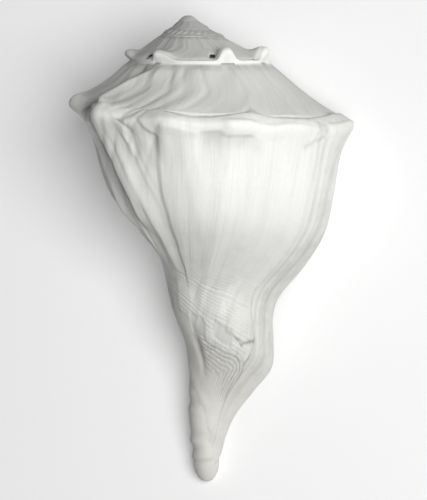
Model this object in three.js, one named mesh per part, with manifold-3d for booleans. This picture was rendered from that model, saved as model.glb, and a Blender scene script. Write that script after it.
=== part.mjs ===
// A left-handed whelk shell lying on its mouth. Lengths are in mm, angles in degrees, +Z up.
// The shell is grown about its own axis first: the apex at the origin, the canal down the axis, and
// the turn angle 0 at the front, running to the right as the shell grows. It is laid down at the end.
import * as THREE from 'three';
import { LoftGeometry } from 'three/addons/geometries/LoftGeometry.js';
import { mergeVertices } from 'three/addons/utils/BufferGeometryUtils.js';
import Module from 'manifold-3d';

const wasm = await Module();
wasm.setup();

// Growth
const LIP_TURN = 100; // where growth stopped: the outer lip
const HOLLOW_TURN = -620; // the whorls before this are filled
const FIRST_TURN = -1500; // the first whorl that is made, just under the nub
const WALL = 0.045; // wall thickness in shoulder radii, about 2.8 mm at the lip

// The path of the shoulder: turn angle, reach from the axis, depth below the apex
const SHOULDER = [
  [-1890, 1.5, 0.6],
  [-1440, 4.2, 1.9],
  [-1080, 7.9, 4.6],
  [-720, 12.4, 7.1],
  [-630, 15.8, 9.3],
  [-540, 19.6, 11.6],
  [-450, 23.9, 14.3],
  [-360, 28.5, 15.8],
  [-270, 33.2, 18.2],
  [-180, 38.7, 23.9],
  [-90, 45.2, 31.7],
  [0, 52.7, 37.1],
  [90, 61.4, 44.0],
  [180, 71.6, 50.2],
];
const turns = SHOULDER.map(([turn]) => turn);
const reachPath = new THREE.CubicInterpolant(turns, SHOULDER.map(([, reach]) => reach), 1);
const depthPath = new THREE.CubicInterpolant(turns, SHOULDER.map(([, , depth]) => depth), 1);

// The edge of the growing shell, from the foot of the ramp to the tip of the canal. Each point has
// the reach and the drop below the shoulder in shoulder radii, at the lip and half a turn before it,
// and the degrees by which the edge leads or trails there.
const EDGE = [
  { lip: [0.865, -0.080], back: [0.865, -0.095], lead: 1 }, // crease at the foot of the ramp
  { lip: [0.915, -0.040], back: [0.910, -0.060], lead: 0 }, // top of the rim
  { lip: [0.945, 0.030], back: [0.935, 0.020], lead: 0 }, // shoulder
  { lip: [0.920, 0.125], back: [0.865, 0.130], lead: 0 }, // under the knobs
  { lip: [0.895, 0.280], back: [0.815, 0.310], lead: 0 },
  { lip: [0.862, 0.450], back: [0.780, 0.510], lead: -1 }, // flank
  { lip: [0.805, 0.660], back: [0.695, 0.740], lead: -2 },
  { lip: [0.678, 0.850], back: [0.530, 0.940], lead: -3 },
  { lip: [0.508, 1.030], back: [0.362, 1.160], lead: -5 },
  { lip: [0.452, 1.160], back: [0.300, 1.280], lead: -7 }, // neck
  { lip: [0.447, 1.320], back: [0.270, 1.400], lead: -9 },
  { lip: [0.430, 1.480], back: [0.240, 1.560], lead: -10 },
  { lip: [0.315, 1.620], back: [0.200, 1.720], lead: -9 },
  { lip: [0.192, 1.770], back: [0.158, 1.860], lead: -8 }, // canal
  { lip: [0.126, 1.920], back: [0.130, 1.980], lead: -14 },
  { lip: [0.108, 2.030], back: [0.115, 2.060], lead: -38 },
  { lip: [0.102, 2.110], back: [0.105, 2.110], lead: -85 },
  { lip: [0.085, 2.170], back: [0.085, 2.140], lead: -140 }, // end of the canal
];
// Where the ramp starts, inside the wall of the whorl before, and how much further up and out it
// starts on the spire
const SUTURE = { reach: 0.935, drop: 0.045, spireReach: 0.01, spireRise: 0.02 };
const SUTURE_LEAD = 14; // the edge leads at the suture
// On the spire the ramp runs straight down to the shoulder: how far along it the points lie that
// make the ramp's middle, the crease and the rim on the last whorl
const STRAIGHT_RAMP = [0.40, 0.78, 0.90];
const RAMP_SAG = 0.012; // the ramp is slightly hollow

// Knobs on the shoulder of the last two whorls: turn angle of the middle, size, how far the knob
// points up in shoulder radii, and the degrees it takes to fade on its early and its late side. The
// earlier whorls carry only small beads, which are left out.
const KNOBS = [
  [-442, 1.0, 0.07, 9, 9],
  [-388, 0.5, 0.10, 4, 12],
  [-333, 0.5, 0.12, 5, 6],
  [-291, 0.4, 0.10, 5, 6],
  [-240, 0.8, 0.08, 7, 9],
  [-195, 0.9, 0.06, 8, 9],
  [-160, 1.0, 0.04, 9, 9],
  [-122, 1.0, 0.03, 9, 9],
  [-84, 1.1, 0.03, 9, 9],
  [-44, 0.8, 0.02, 7, 8],
  [-12, 0.8, 0.02, 6, 9],
  [20, 0.9, 0.02, 10, 8],
  [46, 0.9, 0.02, 8, 11],
  [80, 1.0, 0.03, 7, 9],
];
const KNOB_REACH = 0.055; // of the shoulder radius
const KNOB_HEIGHT = 0.10;
const KNOB_DROP = 0.03;
const RIDGE_REACH = 0.014; // the ridge that runs up and down from each knob
const RIDGE_HEIGHT = 0.45;

// How the shell lies on its mouth, on the outer lip, a shoulder knob and the tip of the canal: the
// turn about its own axis that brings its back on top, and how much higher the apex then lies
const LAID_TURN = 19.65;
const LAID_TILT = 11.98;
const RUBBED_FLAT = 0.35; // what is worn off where it touches the ground

// Folds: the great one runs down the whole whorl from the knobs of the spire, and smaller ones lie
// beside it. Each is a line through points of drop below the shoulder and turn angle, with its
// reach in shoulder radii, its widths on the early and the late side, and where it starts and ends.
const FOLDS = [
  {
    line: [[-0.28, -43], [-0.11, -50], [-0.06, -46], [0.02, -48], [0.13, -52], [0.28, -48], [0.45, -41],
      [0.63, -34], [0.85, -30]],
    reach: 0.036, early: 4.5, late: 8, from: -0.24, to: 0.82,
  },
  { line: [[-0.05, -60], [0.25, -70], [0.52, -62], [0.75, -48], [0.95, -42]], reach: 0.026, early: 4, late: 7, from: 0.0, to: 0.9 },
  { line: [[0.26, -41], [0.57, -30], [0.68, -24], [1.0, -19]], reach: 0.016, early: 4, late: 7, from: 0.3, to: 1.0 },
];
// Growth stopped once at this turn angle, and the newer shell stands slightly proud of the older
const STEP_TURN = -14;
const STEP_REACH = 0.008;

// The pillar in the middle, with the nub on top and the rounded tip of the canal below:
// radius and depth below the apex
const PILLAR = [
  [0, -0.6], [1.3, -0.2], [2.2, 0.8], [2.6, 2.2], [2, 8], [4.5, 30], [7.0, 70], [6.4, 100], [5.2, 125],
  [4.8, 136], [5.7, 146], [5.8, 155], [5.3, 168], [4.8, 174], [4.0, 178], [2.4, 180.4], [0, 181.2],
];

function shoulderReach(turn) {
  return reachPath.evaluate(turn)[0];
}

function shoulderDepth(turn) {
  return depthPath.evaluate(turn)[0];
}

// 1 on the whorls of the spire, 0 on the last whorl
function spirePart(turn) {
  return 1 - THREE.MathUtils.smoothstep(turn, -260, -120);
}

// A hump over the turn angle, with its own width on either side
function hump(turn, middle, early, late) {
  return Math.exp(-(((turn - middle) / (turn < middle ? early : late)) ** 2));
}

// How much of each knob there is at a turn angle: its reach and its rise
function knobAt(turn) {
  let reach = 0;
  let rise = 0;
  for (const [middle, size, up, early, late] of KNOBS) {
    const nearness = hump(turn, middle, early, late);
    reach += size * nearness;
    rise += up * nearness;
  }
  return { reach, rise };
}

// The shell's edge at a turn angle as points (reach, depth), with the lead in z
function edgeAt(turn) {
  const radius = shoulderReach(turn);
  const depth = shoulderDepth(turn);
  const grown = THREE.MathUtils.smoothstep(turn, -90, 90);
  const points = EDGE.map(({ lip, back, lead }) => new THREE.Vector3(
    THREE.MathUtils.lerp(back[0], lip[0], grown) * radius,
    depth + THREE.MathUtils.lerp(back[1], lip[1], grown) * radius,
    lead,
  ));
  const before = shoulderReach(turn - 360);
  const early = 1 - THREE.MathUtils.smoothstep(turn, -240, -150);
  const suture = new THREE.Vector3(
    (SUTURE.reach + SUTURE.spireReach * early) * before,
    shoulderDepth(turn - 360) + (SUTURE.drop - SUTURE.spireRise * early) * before,
    SUTURE_LEAD,
  );
  const ramp = suture.clone().lerp(points[0], 0.5);
  ramp.y += RAMP_SAG * radius;
  const edge = [suture, ramp, ...points];
  STRAIGHT_RAMP.forEach((part, i) => {
    const point = edge[i + 1];
    point.x = THREE.MathUtils.lerp(point.x, THREE.MathUtils.lerp(suture.x, edge[4].x, part), spirePart(turn));
    point.y = THREE.MathUtils.lerp(point.y, THREE.MathUtils.lerp(suture.y, edge[4].y, part), spirePart(turn));
  });
  return edge;
}

// The inner side of the wall follows the edge, thin where it is buried in the whorl before
function insideOf(edge, wall) {
  return edge.map((point, i) => {
    const previous = edge[Math.max(i - 1, 0)];
    const next = edge[Math.min(i + 1, edge.length - 1)];
    const along = new THREE.Vector2(next.x - previous.x, next.y - previous.y).normalize();
    const thickness = wall * Math.min(1, 0.3 + 0.35 * i, 0.4 + 0.2 * (edge.length - 1 - i));
    return new THREE.Vector3(Math.max(point.x - along.y * thickness, 0.3), point.y + along.x * thickness, point.z);
  });
}

// The turn angle of a fold's line at a drop below the shoulder
function foldTurn(line, drop) {
  const next = Math.min(Math.max(line.findIndex(([at]) => at > drop), 1), line.length - 1);
  const [fromDrop, fromTurn] = line[next - 1];
  const [toDrop, toTurn] = line[next];
  const part = THREE.MathUtils.clamp((drop - fromDrop) / (toDrop - fromDrop), 0, 1);
  return drop > line[line.length - 1][0] ? line[line.length - 1][1] : THREE.MathUtils.lerp(fromTurn, toTurn, part);
}

// How far the folds and the growth step stand out at a turn angle and a drop below the shoulder
function foldAt(turn, drop) {
  const body = THREE.MathUtils.smoothstep(turn, -130, -100);
  const folds = FOLDS.reduce((sum, { line, reach, early, late, from, to }) => {
    const there = THREE.MathUtils.smoothstep(drop, from - 0.06, from + 0.06)
      * (1 - THREE.MathUtils.smoothstep(drop, to - 0.08, to + 0.08));
    return sum + reach * there * hump(turn, foldTurn(line, drop), early, late);
  }, 0);
  const below = THREE.MathUtils.smoothstep(drop, -0.1, 0.1) * (1 - THREE.MathUtils.smoothstep(drop, 0.9, 1.3));
  const step = STEP_REACH * THREE.MathUtils.smoothstep(turn, STEP_TURN - 4, STEP_TURN + 2)
    * (1 - THREE.MathUtils.smoothstep(turn, STEP_TURN + 20, STEP_TURN + 60));
  return body * (folds + below * step);
}

// The outer side with its knobs and folds
function outsideOf(edge, turn) {
  const radius = shoulderReach(turn);
  const depth = shoulderDepth(turn);
  const knob = knobAt(turn);
  const early = spirePart(turn);
  return edge.map((point, i) => {
    if (i === 0) return point.clone();
    const drop = (point.y - depth) / radius;
    const near = Math.exp(-(((drop - KNOB_DROP + 0.04 * early) / (KNOB_HEIGHT - 0.03 * early)) ** 2));
    const far = Math.exp(-(((drop - KNOB_DROP) / RIDGE_HEIGHT) ** 2)) * (1 - 0.8 * early);
    const reach = (KNOB_REACH * near + RIDGE_REACH * far) * knob.reach + foldAt(turn, drop);
    return new THREE.Vector3(point.x + reach * radius, point.y - knob.rise * near * radius, point.z);
  });
}

// A point of the edge in space
function placed(point, turn) {
  const angle = THREE.MathUtils.degToRad(turn + point.z);
  return new THREE.Vector3(point.x * Math.sin(angle), -point.x * Math.cos(angle), -point.y);
}

// One section of the wall as a loop: down the outside, back up the inside
function wallSection(turn, filled) {
  const edge = edgeAt(turn);
  const outside = outsideOf(edge, turn);
  const inside = filled
    ? edge.map((point) => new THREE.Vector3(0.3, point.y, point.z))
    : insideOf(edge, WALL * shoulderReach(turn));
  return [...outside, ...inside.reverse()].map((point) => placed(point, turn));
}

// The same loop shrunk onto the line halfway between its two sides, which closes the end of a length
function closedSection(turn, at, filled) {
  const loop = wallSection(turn, filled);
  const turned = new THREE.Matrix4().makeRotationZ(THREE.MathUtils.degToRad(at - turn));
  return loop.map((point, i) => point.clone().lerp(loop[loop.length - 1 - i], 0.5).applyMatrix4(turned));
}

// Turn angles from one end to the other, with a section on the middle of every knob
function stations(from, to, step) {
  const marks = [from, ...KNOBS.map(([middle]) => middle).filter((m) => m > from + 3 && m < to - 3), to];
  const at = [];
  for (let i = 1; i < marks.length; i++) {
    const count = Math.max(1, Math.round((marks[i] - marks[i - 1]) / step));
    for (let k = 0; k < count; k++) at.push(THREE.MathUtils.lerp(marks[i - 1], marks[i], k / count));
  }
  at.push(to);
  return at;
}

function toSolid(geometry) {
  const bare = new THREE.BufferGeometry().setAttribute('position', geometry.toNonIndexed().getAttribute('position'));
  const merged = mergeVertices(bare, 1e-4);
  const index = merged.index.array;
  const corners = [];
  for (let i = 0; i < index.length; i += 3) {
    const [a, b, c] = index.subarray(i, i + 3);
    if (a !== b && b !== c && c !== a) corners.push(a, b, c);
  }
  return new wasm.Manifold(new wasm.Mesh({
    numProp: 3,
    vertProperties: merged.getAttribute('position').array,
    triVerts: new Uint32Array(corners),
  }));
}

// A length of whorl, under a full turn so that it doesn't meet itself
function whorlLength(from, to, step, filled) {
  const sections = stations(from, to, step).map((turn) => wallSection(turn, filled));
  sections.unshift(closedSection(from, from - 1.2, filled));
  sections.push(closedSection(to, to + 1.2, filled));
  return toSolid(new LoftGeometry(sections, { closed: true, capStart: false, capEnd: false }));
}

const pillar = toSolid(new THREE.LatheGeometry(
  PILLAR.map(([radius, depth]) => new THREE.Vector2(radius, -depth)).reverse(), 16,
).rotateX(Math.PI / 2));

// Lengths of whorl, from the apex to the lip: start, end, step between sections, filled or not
const LENGTHS = [
  [FIRST_TURN, -1280, 24, true],
  [-1280, -950, 24, true],
  [-950, HOLLOW_TURN, 20, true],
  [HOLLOW_TURN, -400, 16, false],
  [-400, -235, 14, false],
  [-235, -84, 9, false],
  [-84, -20, 4.5, false],
  [-20, LIP_TURN, 8, false],
];
const joined = LENGTHS.reduce(
  (sum, [from, to, step, filled]) => sum.add(whorlLength(from, to, step, filled)),
  pillar,
);
// The body with the most volume is the shell; the rest are specks of air sealed between the first whorls
const shell = joined.decompose().reduce((most, piece) => (piece.volume() > most.volume() ? piece : most));

// Laid down on its mouth, apex towards +Y, with small worn flats where it touches the ground
const laid = shell.rotate([0, 0, LAID_TURN]).rotate([LAID_TILT - 90, 0, 0]);
const worn = laid.trimByPlane([0, 0, 1], laid.boundingBox().min[2] + RUBBED_FLAT);
const box = worn.boundingBox();
const resting = worn.translate([
  -(box.min[0] + box.max[0]) / 2,
  -(box.min[1] + box.max[1]) / 2,
  -box.min[2],
]);

function toGeometry(solid) {
  const mesh = solid.getMesh();
  return new THREE.BufferGeometry()
    .setAttribute('position', new THREE.BufferAttribute(new Float32Array(mesh.vertProperties), 3))
    .setIndex(new THREE.BufferAttribute(new Uint32Array(mesh.triVerts), 1));
}

const root = new THREE.Group();
const chalk = new THREE.MeshStandardMaterial({ color: '#ebe8e3', roughness: 0.5, metalness: 0 });
const mesh = new THREE.Mesh(toGeometry(resting), chalk);
mesh.name = 'shell';
root.add(mesh);

export default root;
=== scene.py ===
# %% [markdown]
# # A left-handed whelk shell
#
# The object is one white, weathered shell that lies on its mouth. This lesson grows it the way the
# animal did, as a wall that turns round an axis, and then gives the wall its knobs, folds, growth
# lines and chalky surface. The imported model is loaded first: it says where the shell lies and how
# large it is, and the detailed shell takes its place.

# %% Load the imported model
from math import cos, pi, radians, sin

import bpy
import numpy as np
from mathutils import Matrix, Vector


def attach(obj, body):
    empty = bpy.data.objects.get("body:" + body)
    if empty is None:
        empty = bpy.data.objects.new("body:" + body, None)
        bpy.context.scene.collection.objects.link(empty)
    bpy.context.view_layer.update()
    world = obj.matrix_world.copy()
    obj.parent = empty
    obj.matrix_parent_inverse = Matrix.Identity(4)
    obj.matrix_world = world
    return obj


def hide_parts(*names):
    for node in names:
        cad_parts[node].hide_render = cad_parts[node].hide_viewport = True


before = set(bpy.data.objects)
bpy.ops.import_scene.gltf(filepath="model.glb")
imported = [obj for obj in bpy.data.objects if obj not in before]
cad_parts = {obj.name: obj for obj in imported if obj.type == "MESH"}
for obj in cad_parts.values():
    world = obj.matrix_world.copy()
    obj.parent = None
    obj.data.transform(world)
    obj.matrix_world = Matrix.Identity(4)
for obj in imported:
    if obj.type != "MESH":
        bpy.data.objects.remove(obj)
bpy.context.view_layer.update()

MM = 0.001

# %% [markdown]
# ## How the shell lies
#
# The shell is worked out about its own axis: the apex at the origin, the canal straight down, the
# back of the shell at the front. The real one lies on its mouth, held by the outer lip, a knob and
# the tip of the canal. One matrix takes every point from the first place to the second, so that
# the shape, the camera and the light can all be thought out on the upright shell.

# %% The move from the upright shell to the lying one
LAID_TURN = 19.65
LAID_TILT = 11.98
LAID_AT = (-9.20328, 88.39707, 40.50554)

laid = (Matrix.Translation(Vector(LAID_AT) * MM) @ Matrix.Rotation(radians(LAID_TILT - 90), 4, "X")
        @ Matrix.Rotation(radians(LAID_TURN), 4, "Z"))


def laid_direction(upright):
    """A direction of the upright shell as it points once the shell lies down"""
    return (laid.to_3x3() @ Vector(upright)).normalized()


print("the apex lies at", [round(v / MM, 1) for v in laid @ Vector((0, 0, 0))])

# %% [markdown]
# ## The camera
#
# The photograph looks square on the back of the shell, from a little above its shoulder and with
# the shell leaning slightly. A long lens from 900 mm away keeps the spire as flat as it shows
# there. The camera could be placed by eye, but it is worked out on the upright shell instead,
# because the lying shell needs it to look down at a slant that is hard to judge.

# %% Place the camera
CAMERA_DISTANCE = 900 * MM
CAMERA_RISE = radians(7)
CAMERA_ROLL = radians(2.33)
FRAME_HEIGHT = 193.13 * MM
MIDDLE_BELOW_APEX = 90 * MM
AXIS_LEFT_OF_MIDDLE = 6.18 * MM
SENSOR = 36

toward_camera = Vector((0, -cos(CAMERA_RISE), sin(CAMERA_RISE)))
plain_up = Vector((0, sin(CAMERA_RISE), cos(CAMERA_RISE)))
plain_right = Vector((1, 0, 0))
plain_front = Vector((0, -1, 0))
image_right = cos(CAMERA_ROLL) * plain_right - sin(CAMERA_ROLL) * plain_up
image_up = cos(CAMERA_ROLL) * plain_up + sin(CAMERA_ROLL) * plain_right
target = Vector((0, 0, -MIDDLE_BELOW_APEX)) + AXIS_LEFT_OF_MIDDLE * image_right

camera_data = bpy.data.cameras.new("camera")
camera_data.sensor_width = SENSOR
camera_data.lens = SENSOR * CAMERA_DISTANCE / FRAME_HEIGHT
camera = bpy.data.objects.new("camera", camera_data)
bpy.context.collection.objects.link(camera)
axes = Matrix((image_right, image_up, toward_camera)).transposed().to_4x4()
camera.matrix_world = laid @ Matrix.Translation(target + CAMERA_DISTANCE * toward_camera) @ axes
bpy.context.scene.camera = camera
print("lens", round(camera_data.lens, 1), "mm, camera", [round(v, 3) for v in camera.location])

# %% [markdown]
# ## The law of growth
#
# A shell is its own edge, drawn out: the animal adds to the rim, which widens and turns as it goes.
# So the whole surface follows from two small tables. One says how far the shoulder of the rim is
# from the axis, and how deep below the apex, after so many degrees of turn. The other draws the
# edge itself, from the foot of the ramp to the tip of the canal, in parts of that distance. A
# sculpted block would need hundreds of measures to look as sure as this.

# %% The two tables
LIP_TURN = 100
HOLLOW_TURN = -620
FIRST_TURN = -1500
WALL = 0.045

# turn in degrees, reach from the axis and depth below the apex in mm
SHOULDER = np.array([
    [-1890, 1.5, 0.6], [-1440, 4.2, 1.9], [-1080, 7.9, 4.6], [-720, 12.4, 7.1], [-630, 15.8, 9.3],
    [-540, 19.6, 11.6], [-450, 23.9, 14.3], [-360, 28.5, 15.8], [-270, 33.2, 18.2], [-180, 38.7, 23.9],
    [-90, 45.2, 31.7], [0, 52.7, 37.1], [90, 61.4, 44.0], [180, 71.6, 50.2],
])
# reach and drop below the shoulder, at the lip and half a turn before it, and the lead in degrees
EDGE = np.array([
    [0.865, -0.080, 0.865, -0.095, 1],
    [0.915, -0.040, 0.910, -0.060, 0],
    [0.945, 0.030, 0.935, 0.020, 0],
    [0.920, 0.125, 0.865, 0.130, 0],
    [0.895, 0.280, 0.815, 0.310, 0],
    [0.862, 0.450, 0.780, 0.510, -1],
    [0.805, 0.660, 0.695, 0.740, -2],
    [0.678, 0.850, 0.530, 0.940, -3],
    [0.508, 1.030, 0.362, 1.160, -5],
    [0.452, 1.160, 0.300, 1.280, -7],
    [0.447, 1.320, 0.270, 1.400, -9],
    [0.430, 1.480, 0.240, 1.560, -10],
    [0.315, 1.620, 0.200, 1.720, -9],
    [0.192, 1.770, 0.158, 1.860, -8],
    [0.126, 1.910, 0.130, 1.970, -14],
    [0.105, 2.000, 0.115, 2.040, -32],
    [0.089, 2.055, 0.098, 2.090, -55],
    [0.062, 2.085, 0.070, 2.130, -75],
])
LAST = len(EDGE) + 1
SUTURE_REACH, SUTURE_DROP, SUTURE_LEAD = 0.935, 0.045, 14
# how much further out and higher the early sutures lie, and the turns over which that ends
EARLY_SUTURE_OUT, EARLY_SUTURE_UP, EARLY_ENDS = 0.01, 0.02, (-240, -150)
RAMP_SAG = 0.012
# the turns over which the edge takes on its shape at the lip, and those where the spire ends
EDGE_GROWS, SPIRE_ENDS = (-90, 90), (-260, -120)
# on the spire the ramp runs straight down to the shoulder: how far along it points 1 to 3 lie
STRAIGHT = ((1, 0.40), (2, 0.78), (3, 0.90))
print(len(SHOULDER), "rows for the shoulder,", len(EDGE), "for the edge")

# %% [markdown]
# ## From the tables to the edge
#
# Both tables are read between their rows along smooth curves, because a straight line from row to
# row would leave a kink at each one. The foot of the ramp isn't in a table: it lies on the whorl
# that was made one turn before, a little below its shoulder, and that seam is the suture.

# %% Draw the edge at any turn
def smooth(value, low, high):
    """0 below low, 1 above high, and a soft step between"""
    part = np.clip((value - low) / (high - low), 0, 1)
    return part * part * (3 - 2 * part)


def spire_part(turn):
    """1 on the whorls of the spire, 0 on the last whorl"""
    return 1 - smooth(turn, *SPIRE_ENDS)


def shoulder(turn, column):
    """The shoulder's reach (1) or depth (2) at a turn, on a smooth curve through the table"""
    at, value = SHOULDER[:, 0], SHOULDER[:, column]
    slope = np.gradient(value, at, edge_order=1)
    slope[1:-1] = (value[2:] - value[:-2]) / (at[2:] - at[:-2])
    turn = np.clip(turn, at[0], at[-1])
    i = np.clip(np.searchsorted(at, turn) - 1, 0, len(at) - 2)
    gap = at[i + 1] - at[i]
    s = (turn - at[i]) / gap
    return ((2 * s**3 - 3 * s**2 + 1) * value[i] + (s**3 - 2 * s**2 + s) * gap * slope[i]
            + (3 * s**2 - 2 * s**3) * value[i + 1] + (s**3 - s**2) * gap * slope[i + 1])


def edge_points(turn):
    """The rim's guide points at each turn: reach, depth, lead"""
    reach, depth = shoulder(turn, 1)[:, None], shoulder(turn, 2)[:, None]
    grown = smooth(turn, *EDGE_GROWS)[:, None]
    points = np.empty((len(turn), LAST + 1, 3))
    points[:, 2:, 0] = (EDGE[:, 2] + (EDGE[:, 0] - EDGE[:, 2]) * grown) * reach
    points[:, 2:, 1] = depth + (EDGE[:, 3] + (EDGE[:, 1] - EDGE[:, 3]) * grown) * reach
    points[:, 2:, 2] = EDGE[:, 4]
    before, early = shoulder(turn - 360, 1), 1 - smooth(turn, *EARLY_ENDS)
    points[:, 0, 0] = (SUTURE_REACH + EARLY_SUTURE_OUT * early) * before
    points[:, 0, 1] = shoulder(turn - 360, 2) + (SUTURE_DROP - EARLY_SUTURE_UP * early) * before
    points[:, 0, 2] = SUTURE_LEAD
    points[:, 1] = (points[:, 0] + points[:, 2]) / 2
    points[:, 1, 1] += RAMP_SAG * reach[:, 0]
    for i, part in STRAIGHT:
        on_line = points[:, 0, :2] + part * (points[:, 4, :2] - points[:, 0, :2])
        points[:, i, :2] += spire_part(turn)[:, None] * (on_line - points[:, i, :2])
    return points


def drawn_edge(turn, along):
    """A smooth edge through the guide points: along runs from 0, the suture, to 19, the canal's tip"""
    points = edge_points(turn)
    i = np.clip(np.floor(along).astype(int), 0, LAST - 1)
    part = (along - i)[None, :, None]
    here, after = points[:, i], points[:, i + 1]
    before = np.where((i == 0)[None, :, None], 2 * here - after, points[:, np.maximum(i - 1, 0)])
    beyond = np.where((i == LAST - 1)[None, :, None], 2 * after - here, points[:, np.minimum(i + 2, LAST)])
    slope_here, slope_after = (after - before) / 2, (beyond - here) / 2
    return ((2 * here - 2 * after + slope_here + slope_after) * part**3
            + (3 * after - 3 * here - 2 * slope_here - slope_after) * part**2 + slope_here * part + here)


def in_space(points, turn):
    """Points of the edge as places round the axis, in mm"""
    angle = np.radians(turn[:, None] + points[..., 2])
    return np.stack([points[..., 0] * np.sin(angle), -points[..., 0] * np.cos(angle), -points[..., 1]], -1)


lip_reach = shoulder(np.array([LIP_TURN]), 1)[0]
print("at the lip the shoulder is", round(float(lip_reach), 1), "mm from the axis")

# %% [markdown]
# ## Knobs
#
# Each whorl carries a row of knobs on its shoulder, about nine to a turn. On the spire they stand
# up as blunt scales, with a small dented pit on the side that was made first, painted black as shadow.
# On the last whorl they are worn down to low lumps. They belong to the edge as it grew, so they are
# added to the reach and the height of the edge, and not stuck on afterwards.

# %% The knobs on the shoulder
# turn, size, rise in shoulder radii, and the degrees it takes to fade on the early and the late side
KNOBS = np.array([
    [-442, 1.0, 0.07, 9, 9],
    [-388, 0.5, 0.10, 3.5, 12],
    [-331, 0.65, 0.13, 5, 8],
    [-289, 0.55, 0.13, 5, 7.5],
    [-240, 0.8, 0.08, 7, 9],
    [-195, 0.9, 0.06, 8, 9],
    [-160, 1.0, 0.04, 9, 9],
    [-122, 1.0, 0.03, 9, 9],
    [-84, 1.1, 0.03, 9, 9],
    [-44, 0.8, 0.02, 7, 8],
    [-12, 0.55, 0.02, 6, 9],
    [20, 0.6, 0.02, 10, 8],
    [46, 0.65, 0.02, 8, 11],
    [80, 1.0, 0.03, 7, 9],
])
KNOB_REACH, KNOB_HEIGHT = 0.055, 0.10
RIDGE_REACH, RIDGE_HEIGHT = 0.014, 0.45
# drop of a knob's tip, how much higher it sits on the spire, how much more slowly it fades below on
# the last whorl, and how much less a knob and its ridge are on the spire
TIP_DROP, SPIRE_TIP_RISE, SLOWER_FADE, SPIRE_KNOB_LESS, SPIRE_RIDGE_LESS = 0.03, 0.04, 0.05, 0.03, 0.8
# the early whorls have beads in place of knobs: degrees apart, first and last turn and how softly
# the row ends, then reach, drop and height in shoulder radii
BEAD_GAP = 15
BEADS_FROM, BEADS_TO, BEADS_SOFT = -1000, -530, 60
BEAD_REACH, BEAD_DROP, BEAD_HEIGHT = 0.06, -0.09, 0.05


def fades(value, low, high):
    """1 below low, 0 above high, and a soft step between"""
    return 1 - smooth(value, low, high)


def between(value, low, high, soft):
    """1 between low and high, fading over soft on both sides"""
    return smooth(value, low - soft / 2, low + soft / 2) * fades(value, high - soft / 2, high + soft / 2)


def hump(turn, middle, early, late, power=2):
    """A hump over the turn, with its own width on either side, flatter on top with more power"""
    away = turn - middle
    return np.exp(-(np.abs(away / np.where(away < 0, early, late)) ** power))


def with_knobs(edge, turn):
    """The edge with its knobs, and the drop below the shoulder"""
    reach, depth = shoulder(turn, 1)[:, None], shoulder(turn, 2)[:, None]
    drop = (edge[..., 1] - depth) / reach
    size, rise = np.zeros(len(turn)), np.zeros(len(turn))
    for middle, knob_size, knob_rise, early, late in KNOBS:
        size += knob_size * hump(turn, middle, early, late)
        rise += knob_rise * hump(turn, middle, early, late, 3)
    early = spire_part(turn)[:, None]
    from_tip = drop - TIP_DROP + SPIRE_TIP_RISE * early
    slower = np.where(from_tip > 0, SLOWER_FADE * (1 - early), 0)
    near = np.exp(-((from_tip / (KNOB_HEIGHT + slower - SPIRE_KNOB_LESS * early)) ** 2))
    far = np.exp(-(((drop - TIP_DROP) / RIDGE_HEIGHT) ** 2)) * (1 - SPIRE_RIDGE_LESS * early)
    made = edge.copy()
    made[..., 0] += reach * (KNOB_REACH * near + RIDGE_REACH * far) * size[:, None]
    made[..., 1] -= reach * rise[:, None] * near
    beads = (0.5 + 0.5 * np.cos(2 * pi * turn / BEAD_GAP)) * between(turn, BEADS_FROM, BEADS_TO, BEADS_SOFT)
    bead = np.exp(-(((drop - BEAD_DROP) / BEAD_HEIGHT) ** 2))
    made[..., 0] += reach * BEAD_REACH * beads[:, None] * bead
    return made, drop


print(len(KNOBS), "knobs on the last turn and a half")

# %% [markdown]
# ## Lines on the surface
#
# The rest of the relief is low, so it is pushed out along the surface. Folds run down the flank
# where the edge once puckered, each new layer ends in a fine line, and the neck is crossed by
# spiral threads and chipped patches. Lines like these could be painted as bump alone, but the
# larger ones change the light on the whole flank, so they are in the mesh. Each one is a line
# through a few points. A place on the shell is named by its turn, in degrees, and by its step
# along the edge: 0 is the suture, 4 the shoulder and 19 the tip of the canal.

# %% The lines
# lines down the flank: the step along the edge, then the turn there
GREAT_FOLD = [
    (0.4, -42), (1.1, -47), (1.8, -50), (3, -46), (4, -48), (5, -52), (5.8, -48), (6.8, -41),
    (7.6, -34), (8.7, -30),
]
SIDE_FOLD = [(3, -60), (4.5, -64), (5.6, -70), (6.6, -65), (7.2, -60), (8.2, -48), (9.2, -42)]
INNER_FOLD = [(5.4, -40), (5.8, -40), (7.3, -30), (8, -24), (9.5, -20), (10.5, -18)]
SECOND_RIDGE = [(0.3, -47), (1.1, -53), (1.8, -60)]
KNOB_HOLLOW = [(0, -63), (3, -62), (19, -57)]
FIRST_RAMP_RIDGE = [(0, 27), (2, 26)]
NEXT_RAMP_RIDGE = [(0, 50), (2.2, 53)]
REST_LINE = [
    (2.6, -22), (3.7, -24), (4.2, -22), (4.7, -19), (5, -16), (6.4, -17), (7.1, -16), (7.9, -13),
    (8.5, -12), (9.3, -10), (11, -4),
]
SOFT_LINE = [(5.2, -6), (6.4, -4), (7.5, 0), (8.5, 4), (9.6, 8)]
SHORT_LINE = [(4.0, -36), (4.35, -32), (4.7, -30), (5.5, -29), (6.1, -30)]
BAND_LINE = [
    (10, 57), (10.8, 59), (11.8, 62), (12.4, 64), (13, 62), (13.6, 61), (14, 64), (14.5, 64),
    (15, 64), (15.6, 66), (16.4, 72), (17.2, 76), (17.7, 82),
]
CANAL_GROOVE = [(13, 0), (14.1, 6), (15.3, 10)]
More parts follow.
